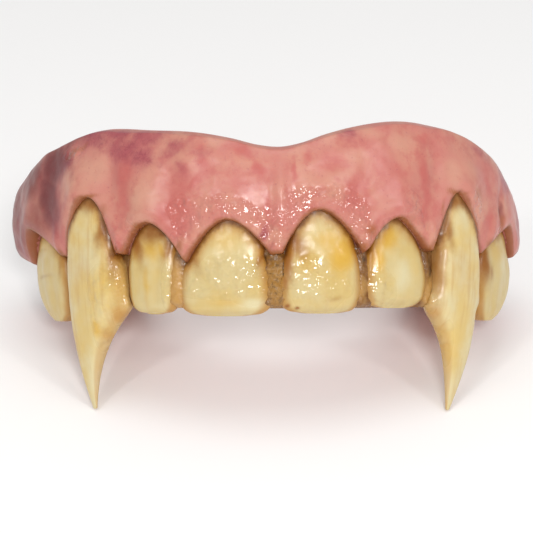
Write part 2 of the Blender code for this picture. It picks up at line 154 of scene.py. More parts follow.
# Teeth: one row a level, from the root's end down to the biting edge or the tip
toothLevels = {
    "left_premolar": (
        # z, left s, right s, front n, back n
        (10.0, -34.7, -32.5, -0.1, -1.8), (9.1, -35.5, -31.3, 0.3, -2.3), (7.8, -36.2, -30.0, 0.6, -2.4),
        (6.3, -36.7, -28.9, 0.8, -2.4), (4.6, -36.9, -28.5, 0.8, -2.4), (3.0, -36.8, -28.4, 0.7, -2.4),
        (1.6, -36.4, -28.5, 0.5, -2.4), (0.5, -35.6, -28.8, 0.3, -2.4), (-0.4, -34.7, -29.4, 0.0, -2.4),
        (-1.1, -33.4, -30.6, -0.3, -2.2)),
    "left_fang": (
        (13.7, -25.0, -23.5, 1.2, -0.8), (12.8, -25.8, -22.6, 1.6, -1.6), (11.2, -26.6, -21.2, 1.8, -2.2),
        (9.2, -27.0, -20.2, 1.9, -2.4), (7.0, -27.2, -19.2, 1.8, -2.4), (4.5, -27.3, -18.4, 1.7, -2.4),
        (2.0, -27.4, -18.1, 1.5, -2.4), (0.5, -27.5, -18.0, 1.4, -2.4), (-0.5, -27.5, -19.0, 1.3, -2.4)),
    "left_lateral_incisor": (
        (10.7, -15.0, -13.5, -0.4, -1.9), (9.8, -15.7, -12.9, 0.0, -2.3), (8.8, -16.5, -12.4, 0.2, -2.4),
        (7.4, -17.2, -12.0, 0.4, -2.4), (5.5, -17.5, -11.8, 0.5, -2.4), (3.0, -17.5, -11.8, 0.4, -2.4),
        (1.3, -17.5, -11.8, 0.2, -2.4), (0.5, -17.3, -12.0, 0.0, -2.2), (0.1, -16.7, -12.6, -0.4, -1.9),
        (0.0, -16.0, -13.3, -0.8, -1.6)),
    "left_central_incisor": (
        (11.0, -6.1, -4.1, -0.3, -1.9), (10.1, -6.8, -3.5, 0.1, -2.3), (8.9, -7.7, -2.6, 0.4, -2.4),
        (7.4, -8.8, -2.0, 0.6, -2.4), (5.8, -9.7, -1.5, 0.7, -2.4), (4.0, -10.5, -1.1, 0.6, -2.4),
        (2.4, -10.9, -0.8, 0.4, -2.4), (1.1, -10.9, -0.6, 0.2, -2.4), (0.4, -10.6, -0.9, 0.0, -2.2),
        (0.0, -10.0, -1.6, -0.5, -1.9), (-0.15, -9.0, -2.6, -0.8, -1.6)),
    "right_central_incisor": (
        (12.1, 4.1, 5.9, -0.3, -1.9), (11.2, 3.4, 6.6, 0.1, -2.3), (9.9, 2.7, 7.5, 0.4, -2.4),
        (8.2, 1.9, 8.4, 0.6, -2.4), (6.4, 1.5, 9.0, 0.7, -2.4), (4.6, 1.1, 9.4, 0.6, -2.4),
        (2.9, 0.8, 9.6, 0.5, -2.4), (1.6, 0.7, 9.6, 0.3, -2.4), (0.8, 0.9, 9.4, 0.1, -2.2),
        (0.35, 1.5, 9.0, -0.4, -1.9), (0.15, 2.5, 8.2, -0.8, -1.6)),
    "right_lateral_incisor": (
        (11.3, 13.4, 14.9, -0.4, -1.9), (10.4, 12.7, 15.6, 0.0, -2.3), (9.2, 12.0, 16.4, 0.2, -2.4),
        (7.6, 11.3, 17.2, 0.4, -2.4), (6.0, 11.1, 17.8, 0.5, -2.4), (4.0, 11.0, 18.3, 0.5, -2.4),
        (2.4, 10.8, 18.4, 0.3, -2.4), (1.5, 10.8, 18.3, 0.1, -2.2), (1.0, 11.2, 17.9, -0.4, -1.9),
        (0.7, 12.1, 17.2, -0.8, -1.6)),
    "right_fang": (
        (14.3, 22.7, 24.3, 1.2, -0.8), (13.4, 21.9, 25.0, 1.6, -1.5), (11.8, 21.2, 25.9, 1.8, -2.2),
        (9.8, 20.5, 26.1, 1.9, -2.4), (7.6, 19.9, 26.5, 1.8, -2.4), (5.0, 19.7, 27.0, 1.7, -2.4),
        (2.6, 19.6, 27.3, 1.5, -2.4), (1.0, 19.0, 27.5, 1.4, -2.4), (0.0, 19.5, 27.0, 1.3, -2.4)),
    "right_premolar": (
        (10.5, 31.6, 33.3, -0.3, -1.8), (9.6, 30.6, 34.0, 0.1, -2.3), (8.2, 29.2, 34.8, 0.5, -2.4),
        (6.6, 28.3, 35.7, 0.7, -2.4), (4.8, 28.1, 36.3, 0.8, -2.4), (3.2, 28.2, 36.4, 0.7, -2.4),
        (1.8, 28.4, 36.1, 0.5, -2.4), (0.6, 28.7, 35.1, 0.3, -2.4), (-0.3, 29.3, 34.2, 0.0, -2.4),
        (-1.0, 30.3, 33.0, -0.4, -2.2)),
}
# Below its last level a fang is a blade: the edge towards the back bends in late, the other one early
fangTips = {
    # z, left s, right s, front n, back n, how late the one edge bends, how early the other
    "left_fang": (-10.95, -24.4, -23.7, -0.6, -0.9, 1.5, 2.4),
    "right_fang": (-11.05, 22.5, 23.1, -0.6, -0.9, 1.7, 3.6),
}
crown = {"sidePower": (3.2, 2.6), "facePower": (0.36, 0.42),   # outline seen from the tip: body, fang's blade
         "wider": 0.5,                        # each side of an incisor, to meet what fills the gaps
         "underGum": 0.3, "overArch": 1.0,    # how much wider and higher than its arch the hidden part is
         "hiddenFrom": (0.6, 2.6),            # over the arch's feet, where the outline becomes the arch's
         "rootDepth": 3.2, "rootThins": 0.25,    # the root thins by so much over this depth below its top
         "rings": 104, "frontPoints": 61, "backPoints": 21,
         "lobes": 0.05, "dents": 0.05}             # depth of the upright lobes and of the small unevenness
# The thin web beside each fang: the body's edge at three heights, which way the web lies
# and how far it is set back
fangWebs = {"left_fang": ((2.5, -19.0), (0.3, -20.2), (-3.4, -22.0), 1, 0.5),
            "right_fang": ((2.5, 19.7), (0.3, 20.5), (-2.8, 21.9), -1, 0.4)}


def bladeLevels(start, tip, late, early):
    for share in (0.09, 0.22, 0.41, 0.62, 0.83, 0.96, 1.0):
        behind, before = share**late, 1 - (1 - share) ** early
        left, right = (behind, before) if tip[1] < 0 else (before, behind)
        yield tuple(a + (b - a) * bend for a, b, bend in zip(start, tip, (share, left, right, share, share)))


def toothColumns(name, arch):
    # z, left, right, front, back and ridge of a tooth at many closely spaced levels
    levels = list(toothLevels[name])
    if name in fangTips:
        *tip, late, early = fangTips[name]
        levels += bladeLevels(levels[-1], tip, late, early)
    levels = np.array(levels)
    leftS, leftZ, topS, topZ, rightS, rightZ, leftPower, rightPower = arch
    topZ = topZ + crown["overArch"]
    reach = np.concatenate(([0.0], np.cumsum(np.hypot(np.diff(levels[:, 0]), 0.5 * np.diff(levels[:, 1])))))
    at = np.linspace(0, reach[-1], crown["rings"])
    table = [(r, *line) for r, line in zip(reach, levels)]
    z, left, right, front, back = (smoothRow(table, i + 1, at) for i in range(5))
    share = (z[0] - z) / (z[0] - z[-1])
    ridge = (left[0] + right[0]) / 2 * (1 - share) + (left[-1] + right[-1]) / 2 * share
    if name in fangTips:
        ridge = ridge + ((left + right) / 2 - ridge) * (1 - ease(-4.0, 3.0, z))
    lift = (topZ - levels[0, 0]) * ease(7.0, levels[0, 0], z)
    z = z + lift
    rise = np.clip(topZ - z, 0.03, None)
    archLeft = topS - (topS - leftS) * (rise / (topZ - leftZ)) ** (1 / leftPower) - crown["underGum"]
    archRight = topS + (rightS - topS) * (rise / (topZ - rightZ)) ** (1 / rightPower) + crown["underGum"]
    hidden = ease(*(min(leftZ, rightZ) + rise for rise in crown["hiddenFrom"]), z)
    fullZ = topZ - crown["rootDepth"]
    full = front[np.argmin(np.abs(z - fullZ))]
    front = np.where(z > fullZ, np.maximum(front, full - crown["rootThins"] * ease(fullZ, topZ, z)), front)
    tip = ease(levels[-1, 0], 1.0 if name in fangTips else levels[-1, 0] + 2.5, z)
    wider = crown["wider"] * tip * ("incisor" in name)
    left = (left - wider) * (1 - hidden) + np.minimum(left, archLeft) * hidden
    right = (right + wider) * (1 - hidden) + np.maximum(right, archRight) * hidden
    return z, left, right, front, back, ridge


toothShapes = {name: toothColumns(name, arch) for name, arch in zip(toothLevels, gumArches)}


def outlineOf(name, across, z):
    # how far out a tooth's outline is at a place across it, from 0 at the sides to 1 in the middle
    blade = 1 - ease(-1.0, 4.0, z) if name in fangTips else 0.0
    powers = crown["sidePower"], crown["facePower"]
    sidePower, facePower = (body + (tip - body) * blade for body, tip in powers)
    return np.clip(1 - np.abs(across) ** sidePower, 0, 1) ** facePower


def toothFace(name, s, z):
    # how far the front of a tooth stands out at s and z, far inside where the tooth isn't
    zs, *columns = (column[::-1] for column in toothShapes[name])
    left, right, front, back, ridge = (np.interp(z, zs, column) for column in columns)
    across = np.abs(np.where(s > ridge, (s - ridge) / (right - ridge), (ridge - s) / (ridge - left)))
    out = outlineOf(name, np.clip(across, 0, 1), z)
    there = (z > zs[0]) & (z < zs[-1]) & (across < 1)
    return np.where(there, (front + back) / 2 + (front - back) / 2 * out, -9.0)


# The gum: flange, trough, low inner wall and open heels
gum = {"bedLeft": -37.1, "bedRight": 36.2, "bedWall": -3.8, "ledge": 6.3, "underside": 1.0, "floor": 2.6,
       "troughFront": -4.9, "troughWidth": 6.6, "troughWidening": 1.6, "heelOut": 1.5, "wallTop": 10.6,
       "shoulder": 14.4, "shoulderWall": 4.3, "borderWall": 2.0, "palatalTop": 7.4, "palatalWall": 1.8,
       "borderFall": 1.7, "borderPower": 2.4, "neckOut": 0.35, "bellyBase": 5.2, "bellyShare": 0.5,
       "overTooth": 0.1, "lip": 0.26, "rollOut": 0.16, "rollAt": 1.1, "rollWidth": 0.8, "waves": 0.09,
       "frenumS": 0.6, "frenumWidth": 0.75, "frenumOut": 0.5, "faceRows": 64}
border = (
    # s, z of the top, n of the fullest part below it
    (-45.0, 11.5, -0.5), (-41.0, 14.5, 2.0), (-36.5, 16.5, 2.5), (-32.0, 18.5, 2.5), (-27.0, 20.0, 2.0),
    (-21.0, 20.9, 1.6), (-15.0, 20.6, 1.3), (-9.0, 20.2, 1.2), (-5.0, 19.5, 1.0), (-2.0, 18.8, 0.7),
    (0.8, 18.6, 0.6), (3.0, 19.0, 0.7), (6.0, 20.0, 1.0), (9.5, 20.9, 1.1), (16.5, 21.6, 1.3),
    (20.0, 21.2, 1.5), (25.0, 20.2, 1.7), (29.0, 18.5, 2.0), (33.0, 16.5, 1.5), (37.0, 14.0, 1.0),
    (40.5, 12.5, 0.0), (44.0, 11.0, -1.0),
)
rootSwellings = (
    # s, foot z, top z, width, height
    (-33.4, 11.5, 17.0, 2.0, 0.4), (-23.8, 14.0, 19.5, 2.4, 0.8), (-14.3, 12.0, 17.5, 2.0, 0.5),
    (-5.1, 12.5, 16.5, 2.6, 0.4), (5.0, 13.5, 17.0, 2.6, 0.4), (14.2, 13.0, 17.5, 2.0, 0.4),
    (23.4, 14.5, 19.5, 2.3, 0.8), (32.4, 12.0, 16.0, 1.8, 0.3),
)
gumBumps = (
    # s, z, half width, half height, height out
    (0.2, 7.3, 0.75, 0.9, 0.45),      # the bead at the tip of the middle papilla
    (-1.4, 8.2, 0.5, 0.8, 0.22), (1.6, 8.6, 0.5, 0.8, 0.2),
    (-18.2, 8.9, 0.42, 0.42, 0.22),   # pimple
    (-9.9, 7.4, 0.8, 1.6, 0.3), (10.2, 8.2, 0.8, 1.6, 0.3), (-18.4, 8.2, 0.7, 1.2, 0.25),
    (-17.8, 6.6, 1.0, 0.5, 0.28), (18.5, 8.8, 0.6, 1.4, 0.25), (-28.6, 8.4, 0.6, 1.4, 0.3),
    (28.2, 9.4, 0.6, 1.5, 0.3),
    (-30.0, 13.6, 2.2, 4.5, -0.3), (29.9, 11.7, 0.5, 2.4, -0.4),      # the creases behind the fangs' roots
    (-6.3, 12.0, 1.0, 0.35, 0.12), (5.5, 12.9, 1.2, 0.35, 0.12), (14.4, 11.8, 1.3, 0.35, 0.1),
    (-11.5, 15.5, 1.1, 2.6, -0.25), (10.0, 16.0, 1.1, 2.6, -0.22), (-19.3, 15.5, 1.0, 2.8, -0.3),
    (18.8, 16.0, 1.0, 2.8, -0.3),
)


def spot(s, z, at, high, wide, tall, lean=0.0):
    # 1 at the middle of a leaning oval, fading to 0
    along, up = s - at, z - high
    turned = along * math.cos(lean) + up * math.sin(lean), up * math.cos(lean) - along * math.sin(lean)
    return np.exp(-((turned[0] / wide) ** 2 + (turned[1] / tall) ** 2))


def flangeFront(s, z):
    top, full = smoothRow(border, 1, s), smoothRow(border, 2, s)
    low = np.minimum(gum["neckOut"], full + 0.2)
    rise = (z - gum["bellyBase"]) / (top - gum["bellyBase"])
    below = low + (full - low) * np.sin(math.pi / 2 * np.clip(rise / gum["bellyShare"], 0, 1))
    over = np.clip((rise - gum["bellyShare"]) / (1 - gum["bellyShare"]), 0, 1)
    above = full - gum["borderFall"] * (1 - np.sqrt(1 - over ** gum["borderPower"]))
    n = np.where(rise < gum["bellyShare"], below, above)
    for at, foot, head, width, height in rootSwellings:
        tall = ease(foot - 5, foot, z) * (1 - ease(head - 5, head, z))
        n = n + height * tall * np.exp(-((s - at) / width) ** 2)
    fade = 1 - ease(top - 5, top - 1, z)
    return n + gum["frenumOut"] * fade * np.exp(-(((s - gum["frenumS"]) / gum["frenumWidth"]) ** 2))


def gumFace(s, z, above):
    # the outer face with what the plain flange leaves out: a neck over each tooth, the roll, bumps and waves
    n = flangeFront(s, z)
    for at, high, wide, tall, out in gumBumps:
        n = n + out * spot(s, z, at, high, wide, tall)
    n = n + gum["rollOut"] * np.exp(-(((above - gum["rollAt"]) / gum["rollWidth"]) ** 2))
    n = n + gum["waves"] * lumps(s / 2.6, z / 2.6, 0 * s, 11, 3) * ease(0.2, 1.5, above)
    under = np.max([toothFace(name, s, z) for name in toothLevels], axis=0)
    soft = 0.12
    n = soft * np.logaddexp(n / soft, (under + gum["overTooth"]) / soft)
    # at the margin the gum rolls down onto the tooth, or into the fill between two teeth
    sunk = np.clip(1 - above / gum["lip"], 0, 1)
    down = np.maximum(under - 0.08, -0.5)
    return down + (n - down) * np.sqrt(1 - sunk**2)


def cornersCut(line, times):
    # rounds an open run of points, each an array over the columns
    for _ in range(times):
        cut = [line[0]]
        for first, second in zip(line, line[1:]):
            cut += [tuple(0.75 * a + 0.25 * b for a, b in zip(first, second)),
                    tuple(0.25 * a + 0.75 * b for a, b in zip(first, second))]
        line = cut + [line[-1]]
    return line


def gumRings(s):
    edge, top = gumLine(s), smoothRow(border, 1, s)
    inRow = (s > gum["bedLeft"]) & (s < gum["bedRight"])
    flat = np.zeros_like(s)
    inner = gum["troughFront"] + gum["heelOut"] * ease(38.5, 42.5, np.abs(s))
    palatal = gum["troughFront"] - gum["troughWidth"] - gum["troughWidening"] * ease(22, 42.5, np.abs(s))
    # outer face from the lip up
    shares = np.linspace(0, 1, gum["faceRows"]) ** 1.2 * 0.96
    z = edge[:, None] + (top - edge)[:, None] * shares
    wide = np.repeat(s[:, None], gum["faceRows"], axis=1)
    above = aboveGumLine(wide, z)
    face = gumFace(wide, z, above)
    outer = [(face[:, i], z[:, i]) for i in range(gum["faceRows"])]
    # over the border and down the inside
    crest = flangeFront(s, top) - 0.5
    shoulder = np.minimum(gum["shoulder"], top - 3.4)
    over = cornersCut([
        outer[-1], (crest, top), (crest - gum["borderWall"] / 2, top - 0.3),
        (crest - gum["borderWall"], top - 1.5),
        (np.maximum(flangeFront(s, shoulder) - gum["shoulderWall"], inner + 0.4), shoulder),
        (inner, np.minimum(gum["wallTop"], top - 5.6)), (inner, flat + gum["floor"] + 0.4),
        (inner - 0.4, flat + gum["floor"])], 2)[1:]
    under = cornersCut([
        (palatal + 0.4, flat + gum["floor"]), (palatal, flat + gum["floor"] + 0.4),
        (palatal - 0.1, flat + gum["palatalTop"] - 0.6), (palatal - 0.8, flat + gum["palatalTop"]),
        (palatal - gum["palatalWall"] + 0.1, flat + gum["palatalTop"] - 0.7),
        (palatal - gum["palatalWall"], flat + gum["underside"] + 1.0),
        (palatal - gum["palatalWall"] + 0.9, flat + gum["underside"])], 2)
    ledge = np.minimum(edge, gum["ledge"])
    lip = face[:, 0]
    tail = []
    for inside, outside in (
            ((flat + gum["bedWall"] - 0.6, flat + gum["underside"]), (flat - 6.0, flat + gum["underside"])),
            ((flat + gum["bedWall"], flat + gum["underside"] + 0.4),
             (flat - 3.2, flat + gum["underside"] + 0.8)),
            ((flat + gum["bedWall"], ledge - 0.05),
             (flat - 2.6, np.maximum(edge - 3.2, gum["underside"] + 1.1))),
            ((flat - 1.2, ledge), (flat - 1.9, edge - 1.8)),
            ((lip - 0.55, np.maximum(edge + 0.12, ledge)), (lip - 0.7, edge - 0.7)),
            ((lip - 0.2, edge + 0.04), (lip - 0.25, edge - 0.22))):
        tail.append(tuple(np.where(inRow, a, b) for a, b in zip(inside, outside)))
    rings = outer + over + under + tail
    n = np.stack([np.broadcast_to(p[0], s.shape) for p in rings], axis=1)
    z = np.stack([np.broadcast_to(p[1], s.shape) for p in rings], axis=1)
    return n, z


def loftObject(name, s, n, z):
    # rings of chart points, one a column, joined into a closed mesh that keeps its chart as a UV map
    columns, points = n.shape
    spots = place(s, n, z).reshape(-1, 3)
    i, j = np.meshgrid(np.arange(columns - 1), np.arange(points), indexing="ij")
    k = (j + 1) % points
    quads = np.stack([i * points + j, i * points + k, (i + 1) * points + k, (i + 1) * points + j], axis=-1)
    faces = [tuple(q) for q in quads.reshape(-1, 4).tolist()]
    faces += [tuple(range(points)), tuple(range((columns - 1) * points, columns * points))]
    mesh = bpy.data.meshes.new(name)
    mesh.from_pydata(spots.tolist(), [], faces)
    mesh.validate()
    mesh.shade_smooth()
    obj = bpy.data.objects.new(name, mesh)
    bpy.context.scene.collection.objects.link(obj)
    turnOutwards(obj)
    chart = mesh.uv_layers.new(name="chart")
    corners = np.empty(len(mesh.loops), np.int32)
    mesh.loops.foreach_get("vertex_index", corners)
    chart.data.foreach_set("uv", np.stack([s.ravel(), z.ravel()], axis=1)[corners].astype(np.float32).ravel())
    return obj


def turnOutwards(obj):
    # a closed mesh whose faces look inwards is turned round
    mesh = obj.data
    volume = sum(Vector(p.center).dot(p.normal) * p.area for p in mesh.polygons)
    middle = sum((Vector(v.co) for v in mesh.vertices), Vector()) / len(mesh.vertices)
    volume -= sum(middle.dot(p.normal) * p.area for p in mesh.polygons)
    if volume < 0:
        mesh.flip_normals()


def keep(obj, **masks):
    # stores what was worked out for each point, for the finishes to read
    for name, values in masks.items():
        layer = obj.data.attributes.new(name, "FLOAT", "POINT")
        layer.data.foreach_set("value", np.clip(values, -20, 20).astype(np.float32).ravel())


def spotSum(s, z, table, seed=3, wobble=0.5):
    # the strongest of several ovals at each point, with their edges made uneven
    ds = wobble * lumps(s / 1.7, z / 1.7, 0 * s, seed, 2)
    dz = wobble * lumps(s / 1.7, z / 1.7, 0 * s + 9.5, seed, 2)
    total = 0 * s
    for at, high, wide, tall, lean, strength in table:
        total = np.maximum(total, strength * spot(s + ds, z + dz, at, high, wide, tall, lean))
    return total


# What was painted into the gum, and the shade painted into its darkest set: s, z, half width, half height,
# lean, strength
gumPaint = {
    "rose": (
        (-27.6, 12.0, 1.2, 4.0, 0.1, 0.9), (-17.3, 14.5, 1.5, 6.0, 0.0, 0.9),
        (-17.6, 9.6, 0.9, 2.2, 0.0, 0.6), (-12.4, 11.1, 1.0, 1.5, 0.3, 0.7),
        (-10.6, 12.0, 1.6, 4.5, -0.1, 0.75), (-8.7, 14.6, 0.7, 1.2, -0.5, 1.0),
        (-7.7, 16.5, 0.7, 1.3, 0.4, 1.0), (-8.1, 18.6, 1.0, 1.0, 0.0, 0.7),
        (-3.6, 17.9, 2.0, 0.8, -0.4, 1.0), (-1.8, 16.1, 0.7, 1.3, 0.3, 1.0),
        (-3.2, 14.0, 2.0, 1.8, 0.0, 0.45), (-0.9, 12.0, 0.5, 2.2, 0.0, 0.9),
        (1.9, 15.8, 0.42, 1.7, 0.0, 1.0), (3.8, 17.4, 0.8, 0.8, 0.0, 0.7), (6.0, 16.3, 2.6, 1.4, 0.2, 0.6),
        (8.6, 14.0, 1.2, 3.2, -0.15, 0.6), (10.3, 13.0, 0.8, 3.0, 0.0, 0.55),
        (13.5, 15.5, 2.5, 1.8, 0.0, 0.5), (17.0, 15.9, 0.9, 2.2, 0.0, 1.0),
        (17.0, 12.5, 0.9, 3.4, 0.0, 0.85), (17.5, 19.6, 1.3, 0.9, 0.0, 0.7),
        (27.1, 14.3, 0.8, 2.6, 0.0, 0.8), (27.2, 10.5, 0.8, 2.2, 0.0, 0.85),
        (34.0, 13.0, 1.5, 3.5, 0.0, 0.5)),
    "mauve": (
        (-14.9, 17.4, 2.4, 1.6, -0.3, 0.8), (-18.9, 20.3, 3.2, 1.0, 0.0, 0.9),
        (-14.7, 19.4, 3.0, 1.4, 0.0, 0.75), (-17.5, 18.6, 3.6, 1.8, 0.0, 0.75),
        (-26.6, 17.4, 1.8, 2.6, 0.4, 0.75), (-28.6, 12.0, 1.0, 4.0, 0.0, 0.6),
        (-22.0, 19.6, 4.0, 1.3, 0.0, 0.7), (-37.0, 10.0, 5.0, 6.0, 0.0, 0.4),
        (-10.5, 16.2, 1.2, 2.0, 0.2, 0.45), (-11.3, 18.5, 2.6, 1.6, 0.0, 0.55),
        (-22.6, 20.6, 3.4, 0.9, 0.0, 0.9), (-38.0, 7.7, 1.8, 1.6, 0.0, 0.8),
        (8.3, 19.9, 1.3, 0.6, 0.0, 0.8), (26.5, 18.5, 2.0, 0.9, -0.2, 0.6),
        (32.0, 15.0, 1.8, 1.8, 0.0, 0.8), (-8.0, 18.0, 1.6, 1.2, 0.0, 0.45),
        (-1.3, 8.7, 0.7, 0.9, 0.0, 0.9), (-29.0, 10.5, 0.6, 2.0, 0.0, 0.4), (2.2, 9.2, 0.6, 1.0, 0.0, 0.5),
        (37.0, 10.5, 2.0, 2.6, 0.0, 0.7)),
    # the darkest set is dark paint and painted shade: both ends, where the flange turns away, the upper left
    # border and the creases behind the fangs' roots are darkened
    "darkPaintAndShade": (
        (-28.8, 17.0, 3.0, 3.2, 0.3, 1.0), (-29.6, 13.4, 2.6, 4.4, 0.0, 1.0),
        (-33.6, 15.6, 5.0, 4.0, 0.4, 0.8), (-38.5, 12.5, 5.0, 7.0, 0.0, 0.7),
        (-42.5, 9.0, 5.0, 7.0, 0.0, 0.85), (-26.0, 20.2, 3.0, 0.8, 0.0, 0.6),
        (-27.4, 15.5, 2.2, 4.0, 0.2, 0.35), (-31.6, 10.6, 4.0, 4.0, 0.0, 0.55),
        (-36.0, 9.5, 4.4, 5.0, 0.0, 0.6), (-27.0, 19.4, 3.4, 1.3, 0.4, 0.6),
        (31.5, 16.8, 2.5, 1.4, -0.3, 0.35), (41.0, 9.5, 3.0, 5.0, 0.0, 0.7),
        (29.9, 11.6, 0.4, 1.8, 0.0, 0.6)),
    "pale": (
        (-21.3, 16.0, 2.6, 2.6, 0.3, 0.9), (-24.5, 15.0, 1.5, 2.0, 0.0, 0.7),
        (-14.2, 12.9, 2.0, 2.2, 0.0, 0.95), (-14.7, 10.9, 1.6, 1.2, 0.0, 0.6),
        (-6.5, 19.2, 2.2, 0.8, 0.0, 0.7), (0.6, 14.0, 0.6, 4.5, 0.0, 0.35),
        (10.8, 20.2, 2.2, 0.9, 0.0, 0.7), (13.9, 19.2, 2.0, 1.2, 0.0, 0.7),
        (21.1, 15.8, 2.0, 2.6, 0.0, 0.9), (23.4, 16.5, 2.2, 2.2, 0.0, 0.6),
        (24.6, 12.0, 1.0, 2.5, 0.3, 0.5), (-33.0, 9.4, 1.7, 1.1, 0.2, 0.6),
        (-32.0, 12.4, 0.9, 1.2, 0.0, 0.45), (30.7, 12.0, 0.7, 2.0, 0.0, 0.8),
        (-5.3, 12.6, 2.6, 1.2, 0.0, 0.35), (28.6, 17.8, 1.4, 0.8, 0.0, 0.5),
        (12.6, 12.4, 1.4, 1.4, 0.0, 0.4)),
    "ochre": (
        (-22.0, 13.1, 1.4, 0.3, 0.1, 0.8), (21.5, 13.7, 1.4, 0.35, -0.1, 1.0),
        (-15.6, 9.6, 0.8, 0.4, 0.5, 0.6), (-20.1, 11.0, 0.4, 1.5, -0.4, 0.6),
        (-17.7, 6.4, 1.1, 0.4, -0.2, 1.0), (19.7, 11.9, 0.4, 1.2, 0.2, 0.6),
        (-10.5, 7.4, 0.4, 1.1, -0.5, 0.7), (-1.7, 8.1, 0.35, 1.0, -0.6, 0.7),
        (8.4, 9.6, 0.4, 1.2, -0.5, 0.5), (-25.0, 18.4, 2.4, 0.4, 0.5, 0.5),
        (10.6, 9.0, 0.8, 1.2, 0.0, 0.6), (15.6, 10.6, 1.0, 0.7, 0.0, 0.4),
        (30.0, 10.0, 0.6, 1.2, 0.0, 0.6), (10.0, 6.9, 0.8, 0.9, 0.0, 0.9),
        (24.5, 13.4, 0.9, 0.7, 0.0, 0.5), (-18.5, 6.8, 0.9, 0.6, 0.0, 0.9),
        (-10.1, 5.9, 0.7, 0.6, 0.0, 0.9), (0.2, 6.6, 0.9, 0.4, 0.0, 1.0), (18.5, 7.3, 0.8, 0.8, 0.0, 0.9),
        (-28.4, 6.6, 0.8, 0.8, 0.0, 0.8), (28.1, 7.7, 0.7, 0.8, 0.0, 0.8)),
    "wet": (
        (-9.6, 10.4, 1.3, 2.0, 0.5, 1.0), (-6.3, 11.6, 2.4, 1.1, 0.1, 1.0),
        (-3.2, 11.2, 2.0, 1.1, -0.3, 1.0), (-1.1, 10.0, 1.0, 1.6, 0.0, 1.0),
        (2.7, 12.2, 1.6, 1.4, 0.6, 1.0), (5.5, 12.9, 1.8, 0.9, 0.0, 1.0), (8.6, 11.2, 1.3, 2.2, 0.3, 1.0),
        (0.4, 8.6, 1.2, 2.4, 0.0, 1.0), (15.8, 11.0, 0.9, 2.0, 0.5, 1.0), (24.6, 11.2, 0.7, 2.0, 0.3, 0.8),
        (10.0, 7.6, 0.9, 1.6, 0.0, 1.0), (-17.7, 6.9, 1.1, 0.7, -0.4, 1.0),
        (-16.4, 9.4, 0.5, 0.9, 0.3, 0.7), (-11.4, 7.4, 0.6, 1.2, -0.4, 0.9),
        (-25.5, 18.2, 1.6, 0.8, 0.0, 0.5), (29.5, 8.6, 0.6, 1.0, 0.0, 0.7),
        (12.4, 9.7, 0.5, 1.0, -0.5, 0.7)),
}
print("gum")
columnsAt = np.concatenate([np.linspace(gumEnds["left"] + 0.25, gum["bedLeft"] - 0.03, 26),
                            np.linspace(gum["bedLeft"] + 0.03, gum["bedRight"] - 0.03, 352),
                            np.linspace(gum["bedRight"] + 0.03, gumEnds["right"] - 0.25, 26)])
ringN, ringZ = gumRings(columnsAt)
endS = np.repeat(columnsAt[:, None], ringN.shape[1], axis=1)
middleN, middleZ = ringN.mean(axis=1, keepdims=True), ringZ.mean(axis=1, keepdims=True)


def endRings(which, side):
    # two rings past an end of the gum, drawn in a little, so that the end looks moulded
    for past, shrink in ((0.25, 0.93), (0.17, 0.97)):
        yield (endS[which] + side * past, middleN[which] + (ringN[which] - middleN[which]) * shrink,
               middleZ[which] + (ringZ[which] - middleZ[which]) * shrink)


firstRings, lastRings = list(endRings(0, -1)), list(endRings(-1, 1))[::-1]
allS, allN, allZ = (np.vstack([*(ring[i] for ring in firstRings), inside, *(ring[i] for ring in lastRings)])
                    for i, inside in enumerate((endS, ringN, ringZ)))
gumBody = loftObject("gum", allS, allN, allZ)
# paint lies on the outer face and fades out over the border
faceRows, fadeRows = gum["faceRows"], 7
painted = np.zeros(allS.shape[1])
painted[:faceRows] = 1.0
painted[faceRows:faceRows + fadeRows] = np.linspace(1, 0, fadeRows)
edgeGap = aboveGumLine(allS, allZ)
keep(gumBody, edgeGap=np.where(painted > 0, edgeGap, 5.0),
     **{name: spotSum(allS, allZ, table) * painted for name, table in gumPaint.items()})


# The stained bed behind and between the teeth: it comes forward in the gaps, crusted in the middle one
bed = {"left": -36.8, "right": 35.9, "back": -3.5, "bottom": 0.6, "rows": 40, "columns": 560,
       "front": -0.75, "underLip": 0.4, "lumps": 0.08}
bedFills = (
    # s, z, half width, half height, out, crust
    (-11.4, 3.4, 1.6, 5.0, 0.95, 0.0), (0.05, 3.6, 1.5, 4.8, 0.95, 1.0), (10.2, 3.0, 1.3, 4.2, 0.65, 0.2),
    (-17.8, 3.0, 0.7, 3.4, 0.2, 0.0), (19.1, 3.4, 1.1, 4.4, 0.6, 0.2), (-28.5, 3.4, 0.8, 3.2, 0.35, 0.1),
    (28.3, 3.6, 0.7, 3.2, 0.35, 0.2),
)


